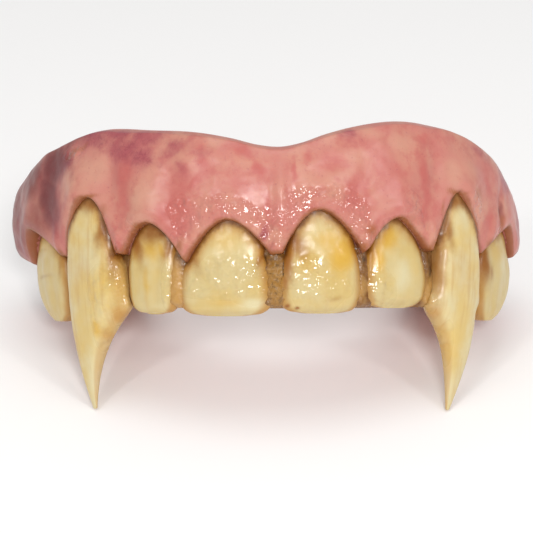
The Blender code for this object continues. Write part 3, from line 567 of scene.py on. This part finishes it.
def bedObject():
    s = np.linspace(bed["left"], bed["right"], bed["columns"])
    ledge = np.minimum(gumLine(s), gum["ledge"]) + 0.15
    share = np.linspace(0, 1, bed["rows"])
    z = bed["bottom"] + (gumLine(s) + bed["underLip"] - bed["bottom"])[:, None] * share
    wide = np.repeat(s[:, None], bed["rows"], axis=1)
    n = np.full_like(wide, bed["front"])
    rough = np.zeros_like(wide)
    for at, high, width, tall, out, crust in bedFills:
        near = spot(wide, z, at, high, width, tall)
        n += out * near
        rough = np.maximum(rough, crust * near)
    n += (bed["lumps"] + 0.2 * rough) * lumps(wide / 0.55, z / 0.55, 0 * z, 21, 3)
    n -= 0.9 * (1 - ease(0.0, 0.1, share)) ** 2
    flat = np.ones(len(s))
    back = [(n[:, -1] - 0.4, z[:, -1]), (n[:, -1] - 0.5, ledge), (flat * bed["back"], ledge),
            (flat * bed["back"], flat * (bed["bottom"] + 0.6)),
            (flat * (bed["back"] + 0.5), flat * (bed["bottom"] + 0.2))]
    allN = np.hstack([n, np.stack([b[0] for b in back], axis=1)])
    allZ = np.hstack([z, np.stack([b[1] for b in back], axis=1)])
    allS = np.repeat(s[:, None], allN.shape[1], axis=1)
    obj = loftObject("stained_bed", allS, allN, allZ)
    crust = np.hstack([rough, np.zeros((len(s), len(back)))])
    dark = spotSum(allS, allZ, (
        (1.0, 4.6, 0.16, 1.8, 0.0, 1.0), (-1.1, 6.0, 0.35, 0.9, -0.3, 0.7), (0.2, 6.7, 0.9, 0.3, 0.0, 1.0),
        (-17.8, 3.4, 0.3, 3.0, 0.0, 0.9), (19.3, 4.8, 0.4, 1.6, 0.0, 0.6), (-28.6, 3.4, 0.4, 3.2, 0.0, 0.8),
        (28.3, 4.2, 0.4, 2.4, 0.0, 0.7), (10.3, 6.0, 0.5, 0.8, 0.0, 0.6),
        (-10.9, 6.4, 0.7, 0.6, 0.0, 0.6)), 5, 0.12)
    ochre = spotSum(allS, allZ, (
        (-11.4, 2.6, 1.4, 4.0, 0.0, 1.0), (0.0, 3.2, 1.3, 3.0, 0.0, 1.0), (-18.2, 0.8, 0.6, 0.8, 0.0, 0.5),
        (19.1, 2.4, 0.9, 2.4, 0.0, 0.9), (10.0, 2.6, 0.8, 2.0, 0.0, 0.7)), 6, 0.2)
    keep(obj, crust=crust, dark=dark, ochre=ochre)
    return obj


print("bed between the teeth")
bedBody = bedObject()


# What was painted on each tooth: s, z, half width, half height, lean, strength
toothPaint = {
    "stain": (
        (-14.0, 9.5, 1.6, 0.7, 0.0, 1.0), (-13.0, 8.9, 0.6, 0.7, 0.0, 0.9),
        (-14.2, 9.0, 2.4, 1.5, 0.0, 0.8), (-16.2, 7.6, 0.9, 2.4, 0.2, 0.9),
        (-12.2, 7.4, 0.7, 2.0, -0.3, 0.7), (-22.0, 12.3, 2.0, 1.2, 0.0, 0.85),
        (-20.2, 9.8, 0.9, 3.0, -0.3, 0.85), (-19.2, 6.0, 0.7, 2.6, 0.0, 0.6),
        (2.3, 7.8, 1.3, 2.4, 0.5, 0.75), (1.4, 5.6, 0.8, 2.6, 0.1, 0.8), (1.2, 3.4, 0.5, 1.8, 0.0, 0.7),
        (1.3, 0.8, 0.35, 0.25, 0.0, 1.0), (2.5, 0.55, 0.3, 0.2, 0.0, 1.0), (6.6, 1.8, 1.0, 0.4, 0.2, 0.35),
        (19.8, 5.4, 0.7, 4.0, 0.0, 0.65), (20.3, 9.4, 0.7, 2.4, 0.3, 0.8),
        (21.6, 12.6, 1.6, 1.1, 0.0, 0.85), (28.8, 6.2, 1.0, 3.0, 0.1, 0.95),
        (29.9, 4.6, 0.6, 1.2, 0.0, 0.6), (31.4, 8.9, 2.0, 0.9, 0.0, 0.6),
        (-33.0, 4.1, 2.4, 0.35, 0.1, 0.35), (-35.6, 5.6, 0.5, 2.2, 0.0, 0.45),
        (-29.6, 5.0, 0.4, 2.4, 0.0, 0.45), (-1.2, 6.8, 0.5, 2.6, -0.4, 0.7),
        (-9.2, 6.4, 0.7, 2.4, 0.5, 0.55), (17.6, 6.4, 0.4, 1.6, 0.0, 0.4)),
    "yellow": (
        (7.4, 6.6, 1.7, 2.4, -0.2, 1.0), (6.0, 8.0, 2.2, 1.8, 0.0, 0.6), (12.7, 8.6, 1.9, 1.6, 0.4, 1.0),
        (11.6, 6.4, 1.0, 2.2, 0.2, 1.0), (3.4, 6.0, 1.6, 2.4, 0.0, 0.5), (-6.0, 8.4, 2.6, 1.6, 0.0, 0.45),
        (-14.4, 7.2, 2.0, 1.8, 0.0, 0.7), (-32.6, 7.6, 2.0, 1.2, 0.0, 0.5),
        (31.4, 7.2, 2.0, 1.6, 0.0, 0.5), (-21.9, -1.8, 0.7, 1.3, 0.0, 0.7),
        (-13.0, 7.2, 0.5, 1.4, 0.3, 0.7), (-15.0, 3.4, 0.5, 2.6, 0.0, 0.5),
        (-16.2, 7.0, 0.6, 1.4, -0.3, 0.8), (-20.0, 4.6, 0.8, 2.4, 0.0, 0.5),
        (-5.5, 1.2, 2.6, 0.5, 0.0, 0.35), (1.6, 6.8, 0.4, 1.0, 0.0, 0.6), (-24.8, 8.4, 1.6, 1.8, 0.0, 0.3),
        (23.0, -5.0, 0.9, 3.0, 0.1, 0.3)),
    "pale": (
        (-33.0, 7.2, 1.4, 1.2, 0.0, 0.8), (-14.8, 6.2, 1.0, 1.0, 0.0, 0.7),
        (-2.4, 1.1, 1.8, 0.7, 0.0, 0.9), (-9.4, 1.4, 1.0, 0.7, 0.0, 0.4), (14.8, 4.2, 1.6, 2.4, 0.0, 0.8),
        (14.4, 9.7, 0.8, 0.5, 0.0, 0.5), (-23.4, -8.5, 1.2, 3.0, 0.0, 0.9),
        (22.2, -8.5, 1.2, 3.0, 0.0, 0.8), (32.4, 5.4, 1.2, 2.0, 0.0, 0.6), (-6.6, 7.0, 1.8, 1.6, 0.0, 0.4),
        (4.6, 3.0, 1.6, 1.4, 0.0, 0.4), (-13.6, 0.9, 2.0, 0.6, 0.0, 0.4), (24.6, -2.6, 0.5, 2.4, 0.2, 0.5),
        (-32.6, 1.0, 1.8, 1.2, 0.0, 0.35)),
    "tan": (
        (-18.6, -0.8, 1.3, 2.2, 0.5, 0.7), (-20.6, -3.4, 0.7, 1.8, 0.5, 0.6),
        (19.3, -0.6, 0.8, 1.8, -0.5, 0.6), (-27.6, 1.0, 0.5, 5.0, 0.1, 0.6),
        (27.4, 3.0, 0.4, 4.0, 0.0, 0.35), (-17.3, 3.0, 0.3, 2.6, 0.0, 0.5),
        (-10.6, 2.0, 0.4, 2.2, 0.0, 0.45), (-24.4, 5.0, 2.2, 4.5, 0.0, 0.25),
        (22.6, 5.4, 1.8, 4.2, 0.0, 0.3)),
    "wet": (
        (-20.2, 2.7, 1.7, 1.9, 0.0, 1.0), (-21.2, -0.6, 0.9, 1.7, 0.0, 1.0),
        (-21.7, -3.3, 0.5, 1.8, 0.0, 0.7), (-3.0, 3.8, 1.8, 2.0, 0.0, 1.0),
        (-5.8, 4.4, 1.8, 1.6, 0.0, 0.9), (-6.0, 2.3, 3.4, 0.6, 0.0, 1.0), (4.6, 2.8, 2.1, 2.0, 0.0, 1.0),
        (3.8, 5.1, 1.4, 1.2, 0.0, 0.8), (-12.2, 2.8, 0.6, 2.0, 0.0, 1.0), (12.2, 2.6, 1.2, 2.0, 0.3, 1.0),
        (21.6, -3.9, 0.6, 2.2, 0.1, 0.8), (-9.0, 3.6, 0.8, 1.4, 0.0, 0.7), (8.0, 3.4, 0.8, 1.4, 0.0, 0.4),
        (-18.6, 6.0, 0.6, 0.8, 0.0, 0.8), (19.2, 1.2, 0.4, 1.2, 0.0, 0.8)),
}
ridges = (
    # tooth, s, z, half width, half height, out
    ("left_central_incisor", -5.6, 2.35, 4.6, 0.22, 0.10),
    ("left_central_incisor", -3.9, 4.0, 0.16, 1.9, 0.10),
    ("left_central_incisor", -2.9, 1.2, 2.4, 0.8, -0.10),
    ("left_central_incisor", -8.6, 3.4, 1.6, 1.2, -0.08),
    ("right_central_incisor", 4.6, 2.8, 1.8, 1.6, 0.12),
    ("right_central_incisor", 6.8, 1.7, 1.6, 0.3, 0.08),
    ("right_central_incisor", 7.6, 6.4, 1.2, 2.2, 0.06),
    ("right_lateral_incisor", 12.1, 2.6, 0.8, 1.9, 0.10),
    ("left_lateral_incisor", -14.6, 6.6, 1.4, 0.9, -0.07),
    ("left_lateral_incisor", -12.5, 2.8, 0.5, 2.0, 0.08), ("left_fang", -20.8, 2.4, 1.5, 1.9, 0.14),
    ("left_premolar", -33.0, 4.2, 3.0, 0.3, -0.08), ("right_premolar", 29.8, 5.0, 0.8, 2.0, -0.12),
    ("right_lateral_incisor", 13.0, 8.2, 1.0, 1.2, -0.06),
)


def toothObject(name):
    z, left, right, front, back, ridge = toothShapes[name]
    ahead = np.sin(np.linspace(math.pi / 2, -math.pi / 2, crown["frontPoints"]))
    behind = -np.sin(np.linspace(math.pi / 2, -math.pi / 2, crown["backPoints"]))[1:-1]
    across = np.concatenate([ahead, behind])
    high = np.repeat(z[:, None], len(across), axis=1)
    outward = outlineOf(name, across, high) * np.concatenate([np.ones(len(ahead)), -np.ones(len(behind))])
    half = np.where(across > 0, (right - ridge)[:, None], (ridge - left)[:, None])
    s = ridge[:, None] + half * across
    n = (front + back)[:, None] / 2 + (front - back)[:, None] / 2 * outward
    facing = np.clip(outward, 0, 1)
    if name in fangWebs:
        upper, middle, lower, side, back = fangWebs[name]
        edge = np.interp(high, [lower[0], middle[0], upper[0]], [lower[1], middle[1], upper[1]])
        web = ease(-0.7, 0.9, side * (s - edge)) * ease(upper[0] + 1.5, upper[0] - 1.0, high)
        n = n - back * web * ease(lower[0] - 2, lower[0] + 2, high) * facing
    lobes = np.cos(3 * math.pi * across) * ease(-1.0, 2.0, high) * (1 - ease(5, 8, high))
    n = n + facing * (crown["lobes"] * lobes * (0 if "fang" in name else 1)
                      + crown["dents"] * lumps(s / 1.5, high / 2.2, 0 * s, 31, 3))
    for tooth, at, level, wide, tall, out in ridges:
        if tooth == name:
            n = n + facing * out * spot(s, high, at, level, wide, tall)
    # the tip is closed by two smaller rings
    lastS, lastN, lastZ = s[-1], n[-1], high[-1]
    for shrink, drop in ((0.72, 0.10), (0.35, 0.14)):
        s = np.vstack([s, lastS.mean() + (lastS - lastS.mean()) * shrink])
        n = np.vstack([n, lastN.mean() + (lastN - lastN.mean()) * shrink])
        high = np.vstack([high, lastZ - drop])
    obj = loftObject(name + "_crown", s, n, high)
    neck = np.maximum(-aboveGumLine(s, high), 0.0)
    ridgeAll = np.append(ridge, [ridge[-1]] * 2)[:, None]
    keep(obj, neck=neck, alongS=s - ridgeAll, side=np.abs(np.repeat(across[None], len(s), axis=0)),
         **{mask: spotSum(s, high, table, 7, 0.15) for mask, table in toothPaint.items()})
    return obj


print("teeth")
crowns = {name: toothObject(name) for name in toothLevels}


class Wire:
    # a socket that arithmetic works on: each operation adds a Math node
    def __init__(self, finish, socket):
        self.finish, self.socket = finish, socket

    def math(self, operation, *values):
        return self.finish.node("ShaderNodeMath", {"operation": operation}, dict(enumerate(values)))

    def __add__(self, other): return self.math("ADD", self, other)
    def __radd__(self, other): return self.math("ADD", other, self)
    def __sub__(self, other): return self.math("SUBTRACT", self, other)
    def __rsub__(self, other): return self.math("SUBTRACT", other, self)
    def __mul__(self, other): return self.math("MULTIPLY", self, other)
    def __rmul__(self, other): return self.math("MULTIPLY", other, self)
    def __truediv__(self, other): return self.math("DIVIDE", self, other)
    def size(self): return self.math("ABSOLUTE", self)

    def between(self, low, high, atLow=0.0, atHigh=1.0):
        return self.finish.node("ShaderNodeMapRange", {"interpolation_type": "SMOOTHSTEP"},
                                {"Value": self, "From Min": low, "From Max": high,
                                 "To Min": atLow, "To Max": atHigh})


class Finish:
    # a material: its nodes come from one method
    def __init__(self, name):
        self.material = bpy.data.materials.new(name)
        self.material.use_nodes = True
        self.tree = self.material.node_tree
        self.shader = self.tree.nodes["Principled BSDF"]

    def node(self, kind, settings=None, sockets=None, output=0):
        made = self.tree.nodes.new(kind)
        for key, value in (settings or {}).items():
            setattr(made, key, value)
        for key, value in (sockets or {}).items():
            if isinstance(value, Wire):
                self.tree.links.new(value.socket, made.inputs[key])
            else:
                made.inputs[key].default_value = value
        return Wire(self, made.outputs[output])

    def mask(self, name):
        return self.node("ShaderNodeAttribute", {"attribute_name": name}, output="Fac")

    def places(self):
        return self.node("ShaderNodeTexCoord", output="Object")

    def chart(self):
        return self.node("ShaderNodeUVMap", {"uv_map": "chart"}, output="UV")

    def noise(self, scale, detail=3.0, roughness=0.5, at=None, distortion=0.0):
        return self.node("ShaderNodeTexNoise", {"noise_dimensions": "3D"},
                         {"Vector": at or self.places(), "Scale": scale, "Detail": detail,
                          "Roughness": roughness, "Distortion": distortion}, output="Fac")

    def stretched(self, s, z):
        return self.node("ShaderNodeMapping", {}, {"Vector": self.chart(), "Scale": (s, z, 1.0)},
                         output="Vector")

    def mix(self, share, first, second, blend="MIX"):
        return self.node("ShaderNodeMix", {"data_type": "RGBA", "blend_type": blend},
                         {0: share, 6: first, 7: second}, output=2)

    def paint(self, colour, tinted, name, mottle, grain, low, high, strength):
        # lays a tint where its mask is, with the edge of the mask broken up by the mottle
        share = (self.mask(name) + (mottle - 0.5) * grain).between(low, high)
        return self.mix(share * strength, colour, tinted)

    def bump(self, height, distance, strength=1.0, normal=None):
        sockets = {"Height": height, "Distance": distance, "Strength": strength}
        if normal:
            sockets["Normal"] = normal
        return self.node("ShaderNodeBump", {}, sockets, output="Normal")

    def set(self, **values):
        for key, value in values.items():
            socket = self.shader.inputs[key.replace("_", " ")]
            if isinstance(value, Wire):
                self.tree.links.new(value.socket, socket)
            else:
                socket.default_value = value


def tint(red, green, blue):
    # a paint given in 8-bit screen values
    shares = (red / 255, green / 255, blue / 255)
    linear = [c / 12.92 if c <= 0.04045 else ((c + 0.055) / 1.055) ** 2.4 for c in shares]
    return (*linear, 1.0)


print("finishes")
# the darkest gum tint is dark paint and also painted shade at the ends and in the creases behind the fangs'
# roots
gumTints = {"pink": tint(190, 116, 106), "warm": tint(196, 136, 116), "rose": tint(184, 98, 90),
            "mauve": tint(156, 74, 82), "darkPaintAndShade": tint(104, 40, 42), "pale": tint(198, 146, 124),
            "ochre": tint(150, 86, 34), "margin": tint(146, 86, 50), "vein": tint(122, 48, 62)}


def gumFinish():
    f = Finish("gum_acrylic_tinted")
    broad = f.noise(190.0, 4.0, 0.55)
    mottle = f.noise(620.0, 5.0, 0.6)
    fine = f.noise(2600.0, 4.0, 0.6)
    colour = f.mix(broad.between(0.35, 0.68), gumTints["pink"], gumTints["warm"])
    colour = f.mix((mottle - 0.5).between(-0.05, 0.18) * 0.5, colour, gumTints["rose"])
    colour = f.paint(colour, gumTints["pale"], "pale", mottle, 0.3, 0.0, 1.1, 0.85)
    colour = f.paint(colour, gumTints["rose"], "rose", mottle, 0.6, 0.0, 1.0, 0.95)
    colour = f.paint(colour, gumTints["mauve"], "mauve", mottle, 0.9, 0.0, 1.0, 0.95)
    # dark paint with painted shade: the ends, the upper left border and the creases behind the fangs' roots
    # are darkened
    colour = f.paint(colour, gumTints["darkPaintAndShade"], "darkPaintAndShade", mottle, 0.15, 0.0, 0.95, 0.94)
    veins = f.noise(900.0, 2.0, 0.5, distortion=1.2)
    vein = (1 - ((veins - 0.5) * 22).size()).between(0.0, 0.8)
    colour = f.mix(vein * f.mask("mauve").between(0.25, 0.8) * 0.35, colour, gumTints["vein"])
    colour = f.paint(colour, gumTints["ochre"], "ochre", mottle, 0.4, 0.05, 0.9, 0.9)
    edge = (1 - f.mask("edgeGap") / 0.6) + (mottle - 0.5) * 1.2
    colour = f.mix(edge.between(0.0, 0.9) * 0.85, colour, gumTints["margin"])
    colour = f.mix((fine - 0.5).between(0.1, 0.24) * 0.35, colour, gumTints["mauve"])
    wet = f.mask("wet").between(0.02, 0.4)
    rough = 0.34 - 0.26 * wet + (mottle - 0.5) * 0.08
    skin = f.bump(fine, 0.00004, 0.12)
    lumpy = f.noise(1150.0, 1.0, 0.4)
    ripple = f.bump((lumpy - 0.5) * wet + broad * 0.3, 0.0004, 1.0, skin)
    f.set(Base_Color=colour, Roughness=rough, Normal=ripple)
    f.shader.inputs["Specular IOR Level"].default_value = 0.45
    f.shader.inputs["Subsurface Weight"].default_value = 0.08
    f.shader.inputs["Subsurface Radius"].default_value = (0.002, 0.0008, 0.0005)
    f.shader.inputs["Subsurface Scale"].default_value = 1.0
    return f.material


toothTints = {"ivory": tint(200, 174, 112), "cream": tint(200, 181, 132), "pale": tint(212, 202, 164),
              "yellow": tint(204, 160, 58), "stain": tint(142, 84, 20), "tan": tint(182, 128, 56),
              "neck": tint(106, 60, 20), "golden": tint(170, 112, 28),
              "fang": tint(210, 182, 114), "fangPale": tint(210, 194, 148)}


def toothFinish(name, main, light, neckReach, grain, flanks):
    f = Finish(name)
    broad = f.noise(260.0, 3.0, 0.5)
    mottle = f.noise(800.0, 5.0, 0.62)
    fine = f.noise(3000.0, 3.0, 0.6)
    streaks = f.noise(1.0, 4.0, 0.55, f.stretched(1.5, 0.14))
    colour = f.mix(broad.between(0.3, 0.7), main, light)
    colour = f.mix((streaks - 0.5).between(-0.02, 0.2) * grain, colour, toothTints["tan"])
    colour = f.paint(colour, toothTints["pale"], "pale", mottle, 0.4, 0.1, 0.95, 0.8)
    colour = f.paint(colour, toothTints["tan"], "tan", mottle, 0.3, 0.0, 1.0, 0.9)
    colour = f.paint(colour, toothTints["yellow"], "yellow", mottle, 0.4, 0.0, 0.95, 0.95)
    golden = (1 - f.mask("neck") / neckReach) + (mottle - 0.5) * 0.5
    colour = f.mix(golden.between(0.0, 1.0) * 0.8, colour, toothTints["golden"])
    sides = f.mask("side").between(0.62, 0.98) + (mottle - 0.5) * 0.3
    colour = f.mix(sides.between(0.05, 1.0) * flanks, colour, toothTints["golden"])
    colour = f.paint(colour, toothTints["stain"], "stain", mottle, 0.45, 0.0, 1.0, 0.95)
    line = (1 - f.mask("neck") / 0.85) + (mottle - 0.5) * 1.2
    colour = f.mix(line.between(0.1, 1.0) * 0.9, colour, toothTints["neck"])
    wet = f.mask("wet").between(0.02, 0.4)
    rough = 0.3 - 0.22 * wet + (mottle - 0.5) * 0.06
    lumpy = f.noise(1050.0, 1.0, 0.4)
    skin = f.bump(streaks * 0.6 + fine * 0.25, 0.00006, 0.35)
    ripple = f.bump((lumpy - 0.5) * wet + broad * 0.2, 0.00035, 1.0, skin)
    f.set(Base_Color=colour, Roughness=rough, Normal=ripple)
    f.shader.inputs["Specular IOR Level"].default_value = 0.45
    f.shader.inputs["Subsurface Weight"].default_value = 0.1
    f.shader.inputs["Subsurface Radius"].default_value = (0.0018, 0.0012, 0.0007)
    f.shader.inputs["Subsurface Scale"].default_value = 1.0
    return f.material


bedTints = {"brown": tint(112, 68, 26), "ochre": tint(186, 142, 78), "dark": tint(38, 22, 14),
            "crust": tint(142, 96, 22), "grey": tint(134, 96, 56)}


def bedFinish():
    f = Finish("stained_acrylic_crust")
    mottle = f.noise(900.0, 5.0, 0.65)
    grit = f.noise(2600.0, 4.0, 0.7)
    colour = f.mix(mottle.between(0.3, 0.7), bedTints["brown"], bedTints["grey"])
    colour = f.paint(colour, bedTints["ochre"], "ochre", mottle, 0.6, 0.15, 0.9, 0.9)
    colour = f.mix(f.mask("crust") * grit.between(0.3, 0.7), colour, bedTints["crust"])
    colour = f.paint(colour, bedTints["dark"], "dark", mottle, 0.8, 0.25, 0.8, 0.95)
    colour = f.mix(f.mask("crust") * grit.between(0.55, 0.35) * 0.6, colour, bedTints["dark"])
    rough = 0.16 + 0.3 * f.mask("crust") * grit
    f.set(Base_Color=colour, Roughness=rough, Normal=f.bump(grit * 0.5 + mottle, 0.00015, 0.6))
    f.shader.inputs["Specular IOR Level"].default_value = 0.45
    return f.material


finishes = {"gum": gumFinish(), "bed": bedFinish()}
for kind, main, light, neckReach, grain, flanks in (
        ("incisor", "ivory", "cream", 1.7, 0.1, 0.75), ("fang", "fang", "fangPale", 1.3, 0.3, 0.4)):
    finishes[kind] = toothFinish("ivory_acrylic_" + kind, toothTints[main], toothTints[light],
                                 neckReach, grain, flanks)


def dress(piece, node, finish):
    piece.data.materials.append(finishes[finish])
    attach(piece, "root")
    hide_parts(node)


dress(gumBody, "gum_base", "gum")
dress(bedBody, "tooth_bed", "bed")
for name, piece in crowns.items():
    isFang = "fang" in name
    dress(piece, name, "fang" if isFang else "incisor")

print("stage")
# The camera looks along the denture's own front, which lies tipped back
camera = {"from": (-0.935, -240.0, 5.225), "lens": 147.4, "sensor": 36.0}
view = bpy.data.cameras.new("view")
view.lens, view.sensor_width = camera["lens"], camera["sensor"]
view.clip_start, view.clip_end = 0.01, 20.0
viewer = bpy.data.objects.new("view", view)
viewer.location = (restTurn @ np.array(camera["from"]) + restShift) / 1000
viewer.rotation_mode = "QUATERNION"
viewer.rotation_quaternion = Quaternion(row["restTurn"]) @ Quaternion((1, 0, 0), math.pi / 2)
bpy.context.scene.collection.objects.link(viewer)
bpy.context.scene.camera = viewer

floorMesh = bpy.data.meshes.new("floor")
floorMesh.from_pydata([(-1.5, -1.5, 0), (1.5, -1.5, 0), (1.5, 1.5, 0), (-1.5, 1.5, 0)], [], [(0, 1, 2, 3)])
floor = bpy.data.objects.new("floor", floorMesh)
bpy.context.scene.collection.objects.link(floor)
paper = Finish("white_paper")
paper.set(Base_Color=tint(250, 249, 248), Roughness=0.9 + (paper.noise(60.0) - 0.5) * 0.05)
floorMesh.materials.append(paper.material)

lamps = (
    # name, direction from the denture in its own frame (right, back, up), distance, width, height, power
    ("front_window", (0.1, -1.0, 0.08), 0.42, 0.08, 0.06, 0.7),
    ("left_window", (-0.55, -1.0, 0.2), 0.45, 0.05, 0.05, 0.24),
    ("right_window", (0.75, -1.0, 0.25), 0.45, 0.05, 0.05, 0.2),
    ("overhead", (0.0, -0.5, 0.87), 0.6, 0.35, 0.35, 0.75),
)
for name, direction, distance, width, height, power in lamps:
    lamp = bpy.data.lights.new(name, "AREA")
    lamp.shape, lamp.size, lamp.size_y, lamp.energy = "RECTANGLE", width, height, power
    holder = bpy.data.objects.new(name, lamp)
    aim = Quaternion(row["restTurn"]) @ Vector(direction).normalized()
    middle = Vector((0.0, 0.0, 0.015))
    holder.location = middle + aim * distance
    holder.rotation_mode = "QUATERNION"
    holder.rotation_quaternion = aim.to_track_quat("Z", "Y")
    bpy.context.scene.collection.objects.link(holder)

sky = bpy.data.worlds.new("studio")
sky.use_nodes = True
sky.node_tree.nodes["Background"].inputs["Color"].default_value = (1.0, 1.0, 1.0, 1.0)
sky.node_tree.nodes["Background"].inputs["Strength"].default_value = 0.55
bpy.context.scene.world = sky
bpy.context.scene.view_settings.view_transform = "Standard"

bpy.context.view_layer.update()
